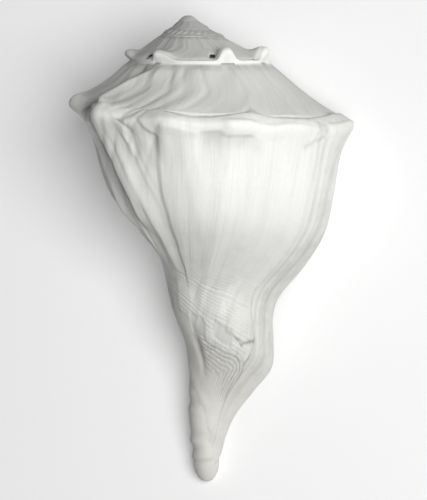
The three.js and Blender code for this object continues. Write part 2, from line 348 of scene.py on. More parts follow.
# lines round the whorl: the turn, then the step along the edge there
CREASE = [
    (-34, 4.03), (-28, 3.49), (-22, 2.6), (-16, 2.5), (-12, 2.76), (-5, 3.15), (8, 3.17), (14, 3.05),
    (20, 2.66), (26, 1.93), (28, 2.06), (33, 2.70), (38, 2.98), (44, 3.2), (52, 3.17), (64, 2.63),
    (74, 2.2), (100, 2.2),
]
NOTCH = [(36, 12.5), (40, 12.6), (47, 12.7), (50, 12.85), (54, 12.66), (65, 12.43)]
OBLIQUE = [(51, 5.2), (64, 4.63)]
print("the great fold runs from", GREAT_FOLD[0], "to", GREAT_FOLD[-1])

# %% [markdown]
# ## Ridges, furrows and lumps
#
# A few plain functions turn the lines into relief: a ridge beside a line down the flank, a furrow
# along a line round the whorl, and a flat-topped lump. What looks accidental comes from a curve
# that wanders between random values. The values are drawn from a fixed seed, so the shell is the
# same one each time.

# %% Helpers for relief
RANDOM_VALUES = 4096


def wander(value, gap, seed):
    """A smooth random curve between -1 and 1 with a new value at every gap"""
    values = np.random.default_rng(seed).uniform(-1, 1, RANDOM_VALUES)
    place = value / gap + RANDOM_VALUES / 2
    i = np.floor(place).astype(int)
    part = place - i
    part = part * part * (3 - 2 * part)
    return values[i] * (1 - part) + values[i + 1] * part


def ripples(value, *waves):
    """Wandering curves together, each given by its height, gap and seed"""
    return sum(height * wander(value, gap, seed) for height, gap, seed in waves)


def line_turn(line, along):
    """The turn of a line down the flank at each step along the edge"""
    steps, turns = zip(*line)
    return np.interp(along, steps, turns)


def line_step(line, turn):
    """The step along the edge of a line round the whorl at each turn"""
    turns, steps = zip(*line)
    return np.interp(turn, turns, steps)


def fold(turn, along, line, beside, early, late, start, end, soft):
    """A ridge so many degrees beside a line down the flank, from one step to another"""
    return hump(turn, line_turn(line, along) + beside, early, late) * between(along, start, end, soft)


def furrow(turn, along, line, width, start, end, soft):
    """A narrow stripe along a line round the whorl, from one turn to another"""
    away = along - line_step(line, turn)
    return np.exp(-((away / width) ** 2)) * between(turn, start, end, soft)


def slab(turn, along, turns, steps, soft_turn, soft_above, soft_below):
    """A flat-topped lump with a slightly wavy outline"""
    lean = 0.010
    wavy_turn = turn + ripples(along, (1.2, 0.45, 41))
    wavy_step = along - lean * turn + lean * sum(turns) / 2 + ripples(turn, (0.07, 5, 42))
    above = smooth(wavy_step, steps[0] - soft_above / 2, steps[0] + soft_above / 2)
    below = fades(wavy_step, steps[1] - soft_below / 2, steps[1] + soft_below / 2)
    return between(wavy_turn, *turns, soft_turn) * above * below


print("a wandering curve at 0, 1 and 2:", np.round(wander(np.arange(3.0), 1, 1), 2))

# %% [markdown]
# ## Folds, lumps and pits
#
# The larger marks are listed one by one. The great fold and two smaller ones carry the light down
# the left flank, lumps and chips break up the shoulder, and the knobs of the spire have rounded
# tips with a small pit beside them.

# %% Tables of the larger marks
# line, degrees beside it, height in mm, width on the early and the late side, first and last step,
# and how softly it ends
FOLDS = [
    (GREAT_FOLD, 0, 2.2, 2.6, 7, 0.6, 8.6, 1.2),
    (SIDE_FOLD, 0, 1.6, 3, 6, 3.2, 9, 1.2),
    (INNER_FOLD, 0, 1.0, 3, 5, 5.6, 10, 1.2),
    (KNOB_HOLLOW, 0, -2.6, 8, 6, 1.9, 4.1, 0.8),
    (GREAT_FOLD, -9, -1.5, 6, 4, 0.3, 2.4, 0.5),
    (GREAT_FOLD, 0, 0.7, 1.6, 2.4, 0.3, 2.6, 0.6),
    (SECOND_RIDGE, 0, 1.0, 1.8, 1.8, 0.4, 1.8, 0.4),
    (SHORT_LINE, 0, -0.6, 1.3, 2.2, 4.0, 6.0, 0.6),
    (FIRST_RAMP_RIDGE, 0, 0.25, 2.5, 2.5, 0.2, 1.9, 0.6),
    (NEXT_RAMP_RIDGE, 0, 0.35, 2.5, 3.5, 0.2, 2.2, 0.6),
    (BAND_LINE, 0, -0.50, 1.5, 1.5, 10.2, 17.9, 1),
    (CANAL_GROOVE, 0, -0.8, 7, 6, 13.3, 14.9, 1.2),
]
# line, height in mm, width in steps, first and last turn, and how softly it ends
FURROWS = [
    (OBLIQUE, -0.6, 0.13, 50, 65, 4),
    (NOTCH, -0.5, 0.09, 42, 66, 4),
]
# turns, steps along the edge, height in mm, and how softly it fades sideways, above and below
SLABS = [
    ((13, 27), (3.55, 4.65), 0.60, 3, 0.25, 0.7),
    ((-14, 3), (4.2, 5.6), 0.45, 3, 0.25, 2.4),
    ((29, 57), (3.8, 5.8), 0.60, 3, 0.25, 2.6),
    ((66, 84), (3.6, 4.9), 0.80, 4, 0.3, 1.6),
    ((4, 13), (4.45, 5.4), -0.60, 3, 0.3, 1.4),
    ((14, 27), (4.72, 5.15), -0.50, 5, 0.15, 0.7),
    ((57, 65), (3.4, 4.4), -0.40, 3, 0.4, 1.0),
    ((-20, 1), (11.1, 12.6), 0.35, 8, 0.8, 0.4),
    ((8, 33), (10.9, 12.1), 0.25, 7, 0.8, 0.6),
    ((35, 56), (11.0, 12.6), 0.35, 4, 0.9, 0.1),
    ((48, 58), (12.8, 13.42), 0.35, 4, 0.10, 0.12),
]
# rounded nubs on the tips of knobs: turn, step, width and height in mm
NUBS = [
    (-84, 3.3, 4.2, 1.3), (-442, 3.4, 2.6, 0.9), (-389, 3.4, 2.0, 0.8), (-330, 3.6, 2.8, 0.9),
    (-289, 3.6, 2.6, 0.9),
]
# pits beside the knobs of the spire: turn, step, radius in mm
SPIRE_PITS = [(-404, 2.2, 1.25), (-405, 1.98, 1.25), (-340, 2.05, 1.1), (-340, 1.86, 1.0), (-300, 3.2, 0.75)]
print(len(FOLDS), "folds,", len(SLABS), "lumps and chips,", len(SPIRE_PITS), "pits")

# %% [markdown]
# ## Ramp and flank
#
# The left flank is crumpled, as if the shell was once hurt there and mended. Growth then stopped
# for a while, and the newer shell stands a little proud of the older. Everywhere else the surface
# has growth lines, which bend gently on the way down and crowd together near the lip.

# %% Where the finer relief lies
# turns over which the last whorl and its crease start, and drops over which the flank starts and ends
LAST_WHORL, CREASE_STARTS = (-130, -100), (-36, -26)
FLANK_TOP, FLANK_FOOT = (-0.05, 0.10), (0.95, 1.25)
# how far the ramp's streaks slant to each step, the step where they turn back, and where they are calm
SLANT, SLANT_TURNS_BACK = 8, 1.2
CALM_FROM, CALM_TO, CALMER = 16, 95, 0.6
# heights in mm, and the width of the crease in steps
REST_HEIGHT, RIM_HEIGHT, CREASE_DEPTH, CRUMPLE_DEPTH = 0.5, 0.3, 0.25, 0.45
CREASE_WIDTH = 0.15
# waves: height in mm, degrees between new values, seed
LEFT_RIPPLES = [(0.45, 4.1, 31), (0.25, 1.9, 32)]
SUTURE_RIPPLES = [(0.45, 11, 71), (0.25, 4, 72)]
GROWTH_WAVES = [(0.20, 7.3, 1), (0.10, 3.1, 2)]
FINE_WAVES = [(0.04, 1.4, 3)]
CROWDED_WAVES = [(0.16, 2.6, 16)]
SLANT_WAVES = [(0.16, 4.3, 7), (0.06, 1.7, 8)]
DEEP_SLANT_WAVES = [(0.30, 3.1, 9)]


def on_last_whorl(turn):
    """0 on the spire, 1 on the last whorl"""
    return smooth(turn, *LAST_WHORL)


def crumple(turn, along):
    """Thin wavy creases on the early part of the last whorl, 1 in their middle"""
    thin = 7
    one_way = (1 - np.abs(wander(turn + 5 * along, 9, 61))) ** thin
    other_way = (1 - np.abs(wander(turn - 2.5 * along + 3 * wander(along, 0.7, 63), 8, 62))) ** thin
    where = between(turn, -62, -12, 10) * between(along, 1.6, 6.2, 1.4)
    return where * np.maximum(one_way, other_way)


def bend(along):
    """How many degrees the growth lines are ahead at each step"""
    return 1.6 * wander(along, 2.3, 5)


def crowded(turn, along):
    """1 near the lip, where growth lines crowd together"""
    return smooth(turn, 52, 66) * between(along, 3.8, 15.5, 2)


def slant(turn, along):
    """The turn followed along the slanting streaks of the ramp"""
    return turn + SLANT * np.abs(along - SLANT_TURNS_BACK)


def calm(turn):
    """Less than 1 on the smoother right half of the ramp"""
    return 1 - CALMER * between(turn, CALM_FROM, CALM_TO, 20)


print("the last whorl starts at turn", LAST_WHORL[0])

# %% [markdown]
# ## Growth lines and steps
#
# Each function gives one kind of relief in mm, which is pushed out along the surface later. The
# lines follow the turn, so that they run down the flank, and only bend a little. On the ramp they
# slant, so they follow a turn that changes with the step.

# %% Relief of the ramp and the flank
def on_ramp(turn, along):
    """An uneven suture and slanting streaks, in mm"""
    ramp = fades(along, 1.6, 2.4)
    slanting = slant(turn, along)
    uneven = ripples(turn, *SUTURE_RIPPLES) * fades(along, 0.3, 1.4) * on_last_whorl(turn)
    streaks = calm(turn) * ripples(slanting, *SLANT_WAVES)
    deeper = between(turn, -26, 12, 8) * ripples(slanting, *DEEP_SLANT_WAVES)
    return uneven + ramp * (streaks + deeper)


def growth_lines(turn, along, drop):
    """Growth lines, from broad waves to fine ones, and the ripples of the left flank, in mm"""
    flank = on_last_whorl(turn) * smooth(drop, *FLANK_TOP) * fades(drop, *FLANK_FOOT)
    bent = turn + bend(along)
    beside = turn - line_turn(GREAT_FOLD, along)
    lines = flank * ripples(bent, *GROWTH_WAVES) + (0.3 + 0.7 * flank) * ripples(bent, *FINE_WAVES)
    lines += crowded(turn, along) * ripples(turn + 0.6 * bend(along), *CROWDED_WAVES)
    return lines + flank * fades(turn, -30, -8) * ripples(beside, *LEFT_RIPPLES)


def rest_step(turn, along):
    """The step down the flank where growth stopped, in mm"""
    newer = turn - line_turn(REST_LINE, along) + ripples(along, (0.8, 0.5, 33))
    step = smooth(newer, -1.8, 0.8) * fades(newer, 12, 55) * between(along, 3.6, 11, 1.4)
    return REST_HEIGHT * step * on_last_whorl(turn)


def shoulder_step(turn, along):
    """The rim steps out below the crease, in mm"""
    below = along - line_step(CREASE, turn) + ripples(turn, (0.05, 5, 34))
    out = RIM_HEIGHT * smooth(below, -0.1, 0.2) * fades(below, 0.8, 2.2)
    out -= CREASE_DEPTH * np.exp(-((below / CREASE_WIDTH) ** 2))
    return out * on_last_whorl(turn) * smooth(turn, *CREASE_STARTS)


print("growth lines ready")

# %% [markdown]
# ## The neck and the canal
#
# Fine spiral threads cross the neck, and smooth chips interrupt them. The newest growth, near the
# lip, lies a little lower than the old, and down the canal the left edge is bumpy.

# %% Relief of the neck and the canal
# threads: the steps between them, and how many steps they climb in a degree
THREAD_GAP, THREAD_LEAN = 0.185, 0.011
# the canal's bumpy left edge: its way round the axis and its width in degrees, its depths in mm
CANAL_LEFT, BUMPY_WIDTH, BUMPY_DEPTHS = -90, 42, (144, 172)
# heights in mm
THREAD_HEIGHT, CHIP_DEPTH, BAND_DEPTH = 0.12, 0.35, 0.35


def chips(turn, along):
    """1 on the smooth chips of the neck"""
    return np.maximum(slab(turn, along, (-1, 15), (12.35, 13.3), 4, 0.12, 0.3),
                      slab(turn, along, (23, 41), (12.3, 13.1), 3, 0.10, 0.12))


def on_neck(turn):
    """1 on the older part of the neck, before the newest growth"""
    return smooth(turn, -60, -30) * fades(turn, 54, 62)


def thread(turn, along):
    """Fine spiral threads on the neck, from -1 to 1"""
    level = along - THREAD_LEAN * turn
    place = level + ripples(turn, (0.06, 11, 14)) + ripples(level, (0.09, 0.45, 15))
    strong = (1 - chips(turn, along)) * (0.65 + 0.35 * wander(turn + 20 * along, 9, 12))
    return between(along, 9.8, 13.4, 1.4) * on_neck(turn) * strong * np.cos(2 * pi * place / THREAD_GAP)


def newest_band(turn, along):
    """The newest growth lies a little lower than the layers beside it, in mm"""
    newest = turn - line_turn(BAND_LINE, along)
    step = smooth(newest, -1.5, 0.5) * fades(newest, 4, 22) * between(along, 10.2, 17.9, 1)
    return -BAND_DEPTH * step * on_last_whorl(turn)


def bumpy_edge(turn, along, angle, depth):
    """Bumps on the left edge of the canal, and its faintly uneven skin, in mm"""
    from_left = np.mod(angle - CANAL_LEFT + 180, 360) - 180
    bumpy = np.exp(-((from_left / BUMPY_WIDTH) ** 2)) * between(depth, *BUMPY_DEPTHS, 6)
    skin = smooth(along, 14.8, 15.6) * ripples(along * 2.1 + turn / 24, (0.12, 0.9, 13))
    return bumpy * (ripples(depth, (0.55, 2.6, 36)) + 0.1) + skin


print("threads are", THREAD_GAP, "steps apart")

# %% [markdown]
# ## Stacked layers
#
# Where the canal starts, old layers of shell lie stacked like the pages of a book, with their rims
# showing. They are counted from their outer corner inwards, so that each rim turns the corner.
# Where the count passes a whole number there is a rim, and the surface falls away from it.

# %% The layers, and all the relief together
# the step of the first rim and how it climbs with the turn, the gaps between rims in steps and in
# degrees, and how many layers their round corner and their fading take
LAYERS_FROM, LAYERS_CLIMB, LAYERS_TURN = 13.25, 0.003, 30
LAYER_GAP, LAYER_GAP_TURN = 0.22, 4.4
LAYER_CORNER, LAYER_FADE = 3, 6
LAYER_HEIGHT = 0.5


def layer_phase(turn, along):
    """Counts the stacked growth layers at the start of the canal, from their outer corner inwards"""
    below = (along - LAYERS_FROM - LAYERS_CLIMB * (turn - LAYERS_TURN)) / LAYER_GAP
    below = below + ripples(turn, (0.22, 9, 21))
    before = (line_turn(BAND_LINE, along) - turn) / LAYER_GAP_TURN + ripples(along, (0.22, 0.4, 22))
    corner = np.hypot(np.minimum(below - LAYER_CORNER, 0), np.minimum(before - LAYER_CORNER, 0))
    in_corner = (below < LAYER_CORNER) & (before < LAYER_CORNER)
    return np.where(in_corner, LAYER_CORNER - corner, np.minimum(below, before))


def layers(turn, along):
    """How strong the stacked layers are, and how deep each place lies below its layer's rim"""
    phase = layer_phase(turn, along)
    strength = smooth(phase, -0.4, 0.2) * np.exp(-((np.maximum(phase, 0) / LAYER_FADE) ** 2))
    strength *= smooth(turn, 0, 14) * fades(along, 14.9, 15.8) * on_last_whorl(turn)
    return strength, np.mod(phase, 1)


def marks(turn, along):
    """All that the tables of folds, furrows and lumps give, in mm"""
    out = 0 * turn
    for line, beside, height, early, late, start, end, soft in FOLDS:
        out += height * fold(turn, along, line, beside, early, late, start, end, soft)
    for line, height, width, start, end, soft in FURROWS:
        out += height * furrow(turn, along, line, width, start, end, soft)
    for turns, steps, height, soft_turn, soft_above, soft_below in SLABS:
        out += height * slab(turn, along, turns, steps, soft_turn, soft_above, soft_below)
    return out * on_last_whorl(turn)


def relief(turn, along, drop, angle, depth):
    """How far the surface stands out, in mm"""
    out = marks(turn, along) + on_ramp(turn, along) + growth_lines(turn, along, drop)
    out += rest_step(turn, along) + shoulder_step(turn, along) - CRUMPLE_DEPTH * crumple(turn, along)
    out += THREAD_HEIGHT * thread(turn, along) - CHIP_DEPTH * chips(turn, along) * on_last_whorl(turn)
    strength, fall = layers(turn, along)
    out += LAYER_HEIGHT * strength * (0.5 - fall) + newest_band(turn, along)
    return out + bumpy_edge(turn, along, angle, depth)


print("the layers' rims are", LAYER_GAP, "steps apart")

# %% [markdown]
# ## Dirt and painted shade
#
# Grey is painted where dust stays and where shade falls: painted shade in the crease, beside the
# folds, in the dents under the knobs, under the rims of the layers and along the suture, and grey
# streaks and dirt on the ramp, the chips, the neck and the crowded lines near the lip. It could be
# baked from how hollow the surface is, but here the same lines that shape the relief also say where
# the grey lies, so both always agree.

# %% Where dirt and painted shade lie
# painted shade on the dark sides of the great fold and in the hollow by the first knob, and darker
# growth lines and grooves: line, degrees beside it, strength, width on the early and the late side,
# first and last step, and how softly it ends
DIRTY_AND_SHADED_FOLDS = [
    (SHORT_LINE, 0, 0.55, 1.1, 1.1, 4.0, 6.2, 0.5),
    (REST_LINE, 0, 0.42, 1.0, 1.0, 3.8, 10.4, 0.8),
    (SOFT_LINE, 0, 0.16, 2.5, 2.5, 4.6, 9.8, 1.2),
    (BAND_LINE, 0, 0.65, 1.1, 1.1, 13.2, 17.8, 0.6),
    (BAND_LINE, 0, 0.25, 1.0, 1.0, 10.2, 13.2, 0.6),
    (CANAL_GROOVE, 0, 0.65, 5, 4, 13.4, 14.5, 1.0),
    (GREAT_FOLD, -7, 0.40, 4, 3, 0.2, 2.6, 0.5),
    (GREAT_FOLD, -8, 0.50, 5, 3, 0.3, 2.2, 0.5),
    (GREAT_FOLD, -6.5, 0.45, 3, 2, 3.4, 8.6, 1),
    ([(0, -64), (LAST, -64)], 0, 0.85, 6, 6, 2.0, 4.2, 0.7),
]
# painted shade in the crease, under the oblique edge of a knob and in the notch: line, strength,
# width in steps, first and last turn, and how softly it ends
SHADED_FURROWS = [
    (CREASE, 0.50, 0.14, -36, 78, 6),
    (OBLIQUE, 0.35, 0.12, 50, 65, 4),
    (NOTCH, 0.75, 0.05, 44, 64, 4),
    (NOTCH, 0.25, 0.12, 36, 66, 4),
]
# painted shadow under the lumps of the knobs: strength, turns, steps along the edge, and how
# softly it fades sideways, above and below
SHOULDER_SHADE = (0.20, (9, 31), (4.7, 5.35), 6, 0.15, 0.5)
# strengths of the painted shade in the dents, the suture, on the rim's top, in the valleys and
# creases of the flank and between the threads, and of the dirt in ramp streaks, crowded lines, chips
# and upright streaks, which all follow the relief itself
DENT_SHADE, SUTURE_SHADE, RIM_TOP_SHADE, RAMP_STREAK_DIRT = 0.22, 0.60, 0.18, 0.28
VALLEY_SHADE, CRUMPLE_SHADE, CROWDED_DIRT = 0.40, 0.30, 0.24
THREAD_SHADE, CHIP_DIRT, UPRIGHT_DIRT = 0.27, 0.27, 0.20
SUTURE_WIDTH = 0.10
print(len(DIRTY_AND_SHADED_FOLDS) + len(SHADED_FURROWS), "dirty lines")

# %% [markdown]
# ## How dark each place is
#
# The kinds of dirt and painted shade are added up, made a little uneven, and cut off at 1. The
# result is stored on the points of the mesh, and the finish mixes in grey there.

# %% Add up the dirt and the painted shade
def dirt_and_shade_in_marks(turn, along):
    """Dirt and painted shade along the lines and in the dents that the tables give"""
    dark = 0 * turn
    for line, beside, strength, early, late, start, end, soft in DIRTY_AND_SHADED_FOLDS:
        dark += strength * fold(turn, along, line, beside, early, late, start, end, soft)
    for line, strength, width, start, end, soft in SHADED_FURROWS:
        dark += strength * furrow(turn, along, line, width, start, end, soft)
    # the dents under the knobs get painted shade
    for turns, steps, height, *softness in SLABS:
        if height < 0:
            dark += DENT_SHADE * slab(turn, along, turns, steps, *softness)
    # painted shadow under the lumps of the knobs
    dark += SHOULDER_SHADE[0] * slab(turn, along, *SHOULDER_SHADE[1:])
    return dark * on_last_whorl(turn)


def streaks_and_shade_on_ramp(turn, along):
    """Grey streaks on the ramp, and painted shade in the suture and on the rim's top below the crease, which
    faces up
    """
    slanting = slant(turn, along)
    streaks = smooth(ripples(slanting, (1, 5.3, 53), (0.5, 1.9, 54)), 0.2, 0.9)
    dark = RAMP_STREAK_DIRT * streaks * fades(along, 1.9, 2.8) * calm(turn)
    # painted shade in the suture
    suture = np.exp(-((np.maximum(along - 0.18, 0) / SUTURE_WIDTH) ** 2))
    dark += SUTURE_SHADE * suture * (0.7 + 0.3 * wander(turn, 4, 52))
    # painted shade on the rim's top below the crease, which faces up
    rim_top = smooth(along - line_step(CREASE, turn), 0, 0.15) * fades(along, 3.5, 3.9)
    return dark + RIM_TOP_SHADE * rim_top * smooth(turn, *CREASE_STARTS)


def dirt_and_shade_on_flank(turn, along):
    """Painted shade in the valleys of the left flank and its creases, and dirt in the crowded lines near the
    lip
    """
    beside = turn - line_turn(GREAT_FOLD, along)
    left = between(along, 2.5, 9.5, 1.5) * on_last_whorl(turn) * fades(turn, -24, -10)
    valleys = smooth(-ripples(beside, (0.65, 4.1, 31), (0.35, 1.9, 32)), 0.1, 0.6)
    lines = smooth(-wander(turn + 0.6 * bend(along), 2.6, 16), 0.1, 0.7)
    # painted shade in the valleys and creases of the left flank
    dark = VALLEY_SHADE * left * valleys + CRUMPLE_SHADE * crumple(turn, along)
    return dark + CROWDED_DIRT * crowded(turn, along) * lines


def dirt_and_shade_on_neck(turn, along):
    """Painted shade between the threads and under the rims of the layers, and dirt on the chips and in
    upright streaks
    """
    # painted shade between the threads
    dark = THREAD_SHADE * smooth(-thread(turn, along), 0.1, 0.9)
    dark += CHIP_DIRT * chips(turn, along) * on_last_whorl(turn)
    upright = between(along, 10.2, 12.8, 1) * on_neck(turn)
    dark += UPRIGHT_DIRT * upright * smooth(wander(turn + 4 * along, 6.5, 55), 0.0, 0.4)
    strength, fall = layers(turn, along)
    # painted shade under the rims of the layers
    return dark + strength * smooth(fall, 0.62, 0.8) * fades(fall, 0.86, 1.0)


def soil_and_shade(turn, along):
    """How much dirt and painted shade lie in the creases and streaks, from 0 to 1"""
    dark = dirt_and_shade_in_marks(turn, along) + streaks_and_shade_on_ramp(turn, along)
    dark += dirt_and_shade_on_flank(turn, along) + dirt_and_shade_on_neck(turn, along)
    thin = 0.75 + 0.25 * wander(turn + 5 * along, 2.2, 51)
    return np.clip(dark * thin, 0, 1)


here, there = (float(soil_and_shade(np.array([[at]]), np.array([[0.2]]))[0, 0]) for at in (0.0, 40.0))
print("dirt in the suture at turn 0 and 40:", round(here, 2), round(there, 2))

# %% [markdown]
# ## The two sides of the wall
#
# The outside is the edge with its knobs, turned round the axis and pushed out by the relief. The
# inside is smooth, a wall's thickness further in, and thins out where it is buried in the whorl
# before. The early whorls are filled up to a thin core, which the pillar closes.

# %% Outside and inside
# parts of the edge: the first step, the last step and the number of columns between
OUTSIDE_COLUMNS = [(0, 2, 16), (2, 5.5, 36), (5.5, 9.8, 34), (9.8, 12, 44), (12, 14.6, 52), (14.6, LAST, 30)]
SPIRE_COLUMNS = [(0, 2, 22), (2, 5, 34), (5, LAST, 18)]
EARLY_COLUMNS = [(0, 2, 10), (2, 5, 14), (5, LAST, 8)]
INSIDE_COLUMNS = [(0, LAST, 30)]
# reach of the core in mm, depth of a pit in its own radii, and the steps over which relief starts
CORE_REACH = 0.3
PIT_DEPTH = 0.8
BURIED = (0.05, 0.5)


def spread(parts):
    """Steps from one end of the edge to the other, as many in each part as it says"""
    runs = [np.linspace(start, end, count, endpoint=False) for start, end, count in parts]
    return np.append(np.concatenate(runs), parts[-1][1])


def outward(places):
    """The way out of the surface at each place of a grid, away from the axis"""
    normal = np.cross(np.gradient(places, axis=0), np.gradient(places, axis=1))
    normal /= np.maximum(np.linalg.norm(normal, axis=-1, keepdims=True), 1e-9)
    from_axis = places * (1, 1, 0)
    return normal if (normal * from_axis).sum() >= 0 else -normal


def edge_place(turn, step):
    """One place on the edge with its knobs, in mm on the upright shell"""
    at = np.array([float(turn)])
    return in_space(with_knobs(drawn_edge(at, np.array([float(step)])), at)[0], at)[0, 0]


def near_place(places, turn, step, width):
    """1 at a place on the edge, fading with the distance from it"""
    distance = np.linalg.norm(places - edge_place(turn, step), axis=-1)
    return np.exp(-((distance / width) ** 2))


def outer_side(turn, along):
    """The finished outer side in space, and its dirt and painted shade"""
    edge, drop = with_knobs(drawn_edge(turn, along), turn)
    places = in_space(edge, turn)
    all_turns = turn[:, None] + 0 * drop
    all_steps = along[None, :] + 0 * drop
    height = relief(all_turns, all_steps, drop, all_turns + edge[..., 2], edge[..., 1])
    for at, step, width, high in NUBS:
        height += high * near_place(places, at, step, width)
    for at, step, radius in SPIRE_PITS:
        height -= PIT_DEPTH * radius * near_place(places, at, step, radius)
    height *= smooth(along, *BURIED)
    return places + outward(places) * height[..., None], soil_and_shade(all_turns, all_steps)


def inner_side(turn, along, filled):
    """The inner side of the wall, thin where it is buried in the whorl before"""
    edge = drawn_edge(turn, along)
    if filled:
        edge[..., 0] = CORE_REACH
        return in_space(edge, turn)
    way = np.gradient(edge[..., :2], axis=1)
    way /= np.maximum(np.linalg.norm(way, axis=-1, keepdims=True), 1e-9)
    thinner = np.minimum(0.3 + 0.35 * along, 0.4 + 0.2 * (LAST - along))
    wall = WALL * shoulder(turn, 1)[:, None] * np.minimum(1, thinner)
    moved = edge.copy()
    moved[..., 0] = np.maximum(edge[..., 0] - way[..., 1] * wall, CORE_REACH)
    moved[..., 1] = edge[..., 1] + way[..., 0] * wall
    return in_space(moved, turn)


print("columns outside:", len(spread(OUTSIDE_COLUMNS)), "inside:", len(spread(INSIDE_COLUMNS)))

# %% [markdown]
# ## From a grid to a wall
#
# A length of wall is a flat grid that is wrapped round the axis: its columns go down the outside of
# the edge and back up the inside, its rows follow the growth. A grid is right here, and not a tube
# or a spun outline, because every row of a growing shell has another shape. The first and the last
# column meet, and the end rows shrink onto the middle of the wall, so that merging the doubles
# closes the length. The grid's own texture map is kept and rewritten: it holds the step along the
# edge and the turn, which the colours need later.

# %% Wrap a grid
END_GAP = 1.2
DOUBLES = 1e-6
STEPS_ON_MAP = 20
TURNS_ON_MAP = 360


def end_rows(turn, outside, inside, filled):
    """A row beyond each end, on the middle of the wall, with the outer columns on the inner ones"""
    nearest = np.abs(outside[:, None] - inside).argmin(1)
    used = np.unique(nearest)
    back = used[np.abs(inside[:, None] - inside[used]).argmin(1)]
    order = np.concatenate([nearest, back[::-1], nearest[:1]])
    rows = []
    for at, gap in ((turn[:1], -END_GAP), (turn[-1:], END_GAP)):
        middle = (in_space(drawn_edge(at, inside), at) + inner_side(at, inside, filled)) / 2
        turned = radians(gap)
        spin = np.array([[cos(turned), -sin(turned), 0], [sin(turned), cos(turned), 0], [0, 0, 1]])
        rows.append((middle @ spin.T)[:, order])
    return rows


def wrapped_grid(name, loop):
    """A grid object wrapped onto a loop of places, and the row and column of each of its points"""
    rows, columns = loop.shape[:2]
    bpy.ops.object.select_all(action="DESELECT")
    bpy.ops.mesh.primitive_grid_add(x_subdivisions=columns - 1, y_subdivisions=rows - 1, size=1)
    wall = bpy.context.object
    wall.name = name
    flat = np.empty(len(wall.data.vertices) * 3)
    wall.data.vertices.foreach_get("co", flat)
    flat = flat.reshape(-1, 3)
    column = np.rint((flat[:, 0] + 0.5) * (columns - 1)).astype(int)
    row = np.rint((flat[:, 1] + 0.5) * (rows - 1)).astype(int)
    wall.data.vertices.foreach_set("co", (loop[row, column] * MM).ravel())
    return wall, row, column


def write_map(mesh, steps, turns):
    """Write the step and the turn of each point to the texture map called growth"""
    layer = mesh.uv_layers.get("growth") or mesh.uv_layers.new(name="growth")
    corner = np.empty(len(mesh.loops), np.int32)
    mesh.loops.foreach_get("vertex_index", corner)
    growth = np.stack([steps[corner] / STEPS_ON_MAP, turns[corner] / TURNS_ON_MAP], -1)
    layer.data.foreach_set("uv", growth.ravel().astype(np.float32))


def write_mark(mesh, name, values):
    """Write a value for each point, which the finish can read"""
    mark = mesh.attributes.new(name, "FLOAT", "POINT")
    mark.data.foreach_set("value", values.astype(np.float32))


print("a grid is wrapped round", END_GAP, "degrees past each end")

# %% [markdown]
# ## The lengths
#
# The shell is built in six lengths, finer towards the lip, because the early whorls are small and
# nearly smooth. Each one is closed by merging its doubles, and the number of edges left open is
# printed, which has to be none.

# %% Build the lengths of the wall
# name, the turn of each row, the columns outside, and whether it is filled
LENGTHS = [
    ("first whorls", np.arange(FIRST_TURN, -1209, 5.8), EARLY_COLUMNS, True),
    ("second whorls", np.arange(-1210, -914, 4.9), EARLY_COLUMNS, True),
    ("third whorl", np.linspace(-915, HOLLOW_TURN, 84), EARLY_COLUMNS, True),
    ("turn inside the spire", np.linspace(HOLLOW_TURN, -540, 28), SPIRE_COLUMNS, False),
    ("knobbed whorl", np.linspace(-540, -225, 211), SPIRE_COLUMNS, False),
    ("last whorl", np.append(np.linspace(-225, -105, 72, endpoint=False), np.linspace(-105, LIP_TURN, 206)),
     OUTSIDE_COLUMNS, False),
]


def wall_length(name, turn, outside, inside, filled):
    """One closed length of wall as a mesh object"""
    outer, dirt_and_shade = outer_side(turn, outside)
    inner = inner_side(turn, inside, filled)[:, ::-1]
    before, after = end_rows(turn, outside, inside, filled)
    loop = np.concatenate([before, np.concatenate([outer, inner, outer[:, :1]], 1), after], 0)
    dirt_and_shade = np.pad(np.concatenate([dirt_and_shade, 0 * inner[..., 0], dirt_and_shade[:, :1]], 1), ((1, 1), (0, 0)))
    steps = np.concatenate([outside, inside[::-1], outside[:1]])
    turns = np.concatenate([turn[:1] - END_GAP, turn, turn[-1:] + END_GAP])
    wall, row, column = wrapped_grid(name, loop)
    wall.data.uv_layers[0].name = "growth"
    write_map(wall.data, steps[column], turns[row])
    write_mark(wall.data, "dirt_and_shade", dirt_and_shade[row, column])
    write_mark(wall.data, "inside", (column >= len(outside)) & (column < loop.shape[1] - 1))
    bpy.ops.object.mode_set(mode="EDIT")
    bpy.ops.mesh.select_all(action="SELECT")
    bpy.ops.mesh.remove_doubles(threshold=DOUBLES)
    bpy.ops.mesh.normals_make_consistent(inside=False)
    bpy.ops.mesh.select_all(action="DESELECT")
    bpy.ops.mesh.select_non_manifold()
    bpy.ops.object.mode_set(mode="OBJECT")
    print(name, len(wall.data.polygons), "faces,", sum(e.select for e in wall.data.edges), "open edges")
    return wall


walls = [wall_length(name, rows.astype(float), spread(columns), spread(INSIDE_COLUMNS), filled)
         for name, rows, columns, filled in LENGTHS]

# %% [markdown]
# ## The pillar
#
# The whorls wind round a solid pillar, which ends on top in the smooth nub that was the shell's
# beginning and below in the rounded tip of the canal. It is drawn up from one ring of the circle,
# extruded and widened or narrowed step by step. The left edge of the canal is bumpy, so the rings
# there are nudged to the left, each by its own amount.

# %% Draw up the pillar
# radius and depth below the apex, in mm
PILLAR = [
    (1.2, -0.2), (2.4, 0.5), (3.4, 1.4), (4.2, 2.5), (4.5, 3.4), (3, 8), (4.5, 30), (7.0, 70),
    (6.4, 100), (5.2, 125), (4.8, 136), (5.7, 146), (5.8, 155), (5.3, 168), (5.55, 170.5),
    (5.6, 171.0), (5.0, 171.6), (5.1, 173.2), (4.9, 175), (4.4, 177.2), (3.4, 179.2), (2.2, 180.5),
    (0.8, 181.1),
]
RING_POINTS = 48
BUMPY_FROM, BUMPY_TO, BUMP_GAP = 145, 169, 1.5
BUMP_HEIGHT = 0.75
MIDDLE_HEIGHT = -100
# step and turn that the finish reads on the nub and on the tip
NUB_GROWTH, TIP_GROWTH = (1, -1400), (17, 20)

